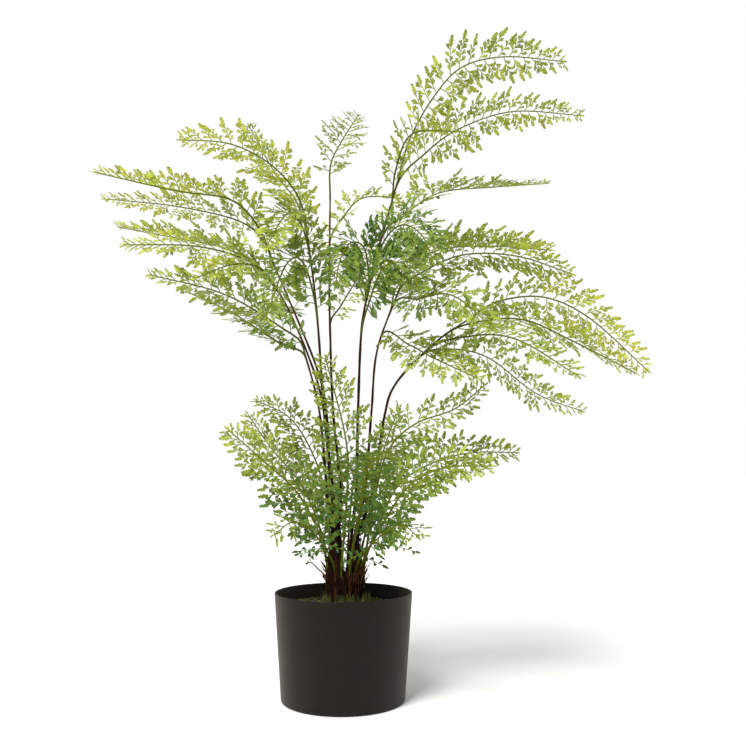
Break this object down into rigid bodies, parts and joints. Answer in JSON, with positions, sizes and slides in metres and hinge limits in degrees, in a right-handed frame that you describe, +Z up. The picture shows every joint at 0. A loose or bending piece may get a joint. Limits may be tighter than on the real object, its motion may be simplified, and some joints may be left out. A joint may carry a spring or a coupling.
{
  "type": "potted maidenhair fern",
  "caption": "Maidenhair fern with arching, finely cut fronds on thin dark stems, standing in a fibre crown in a plain matt round pot.",
  "frame": {"origin": "centre of the pot's flat base, on the pot's axis", "axes": "+Z up along the pot's axis and the plant's height, +X to the side where the fronds reach furthest, -Y to the front"},
  "size_m": [0.7176, 0.4081, 0.8306],
  "materials": {
    "pot": "matt charcoal",
    "potting_mix": "crumbly dark mix with moss",
    "crown": "dark red-brown fibre",
    "leafy_stem": "satin green leaflets on dark stems",
    "low_frond": "satin green leaflets on green stalks"
  },
  "bodies": {
    "root": {"pot": "pot", "potting_mix": "potting_mix", "fibre_crown": "crown", "leafy_stem_1": "leafy_stem", "leafy_stem_2": "leafy_stem", "leafy_stem_3": "leafy_stem", "leafy_stem_4": "leafy_stem", "leafy_stem_5": "leafy_stem", "leafy_stem_6": "leafy_stem", "leafy_stem_7": "leafy_stem", "leafy_stem_8": "leafy_stem", "low_frond_01": "low_frond", "low_frond_02": "low_frond", "low_frond_03": "low_frond", "low_frond_04": "low_frond", "low_frond_05": "low_frond", "low_frond_06": "low_frond", "low_frond_07": "low_frond", "low_frond_08": "low_frond", "low_frond_09": "low_frond", "low_frond_10": "low_frond", "low_frond_11": "low_frond", "low_frond_12": "low_frond", "low_frond_13": "low_frond"}
  },
  "joints": []
}
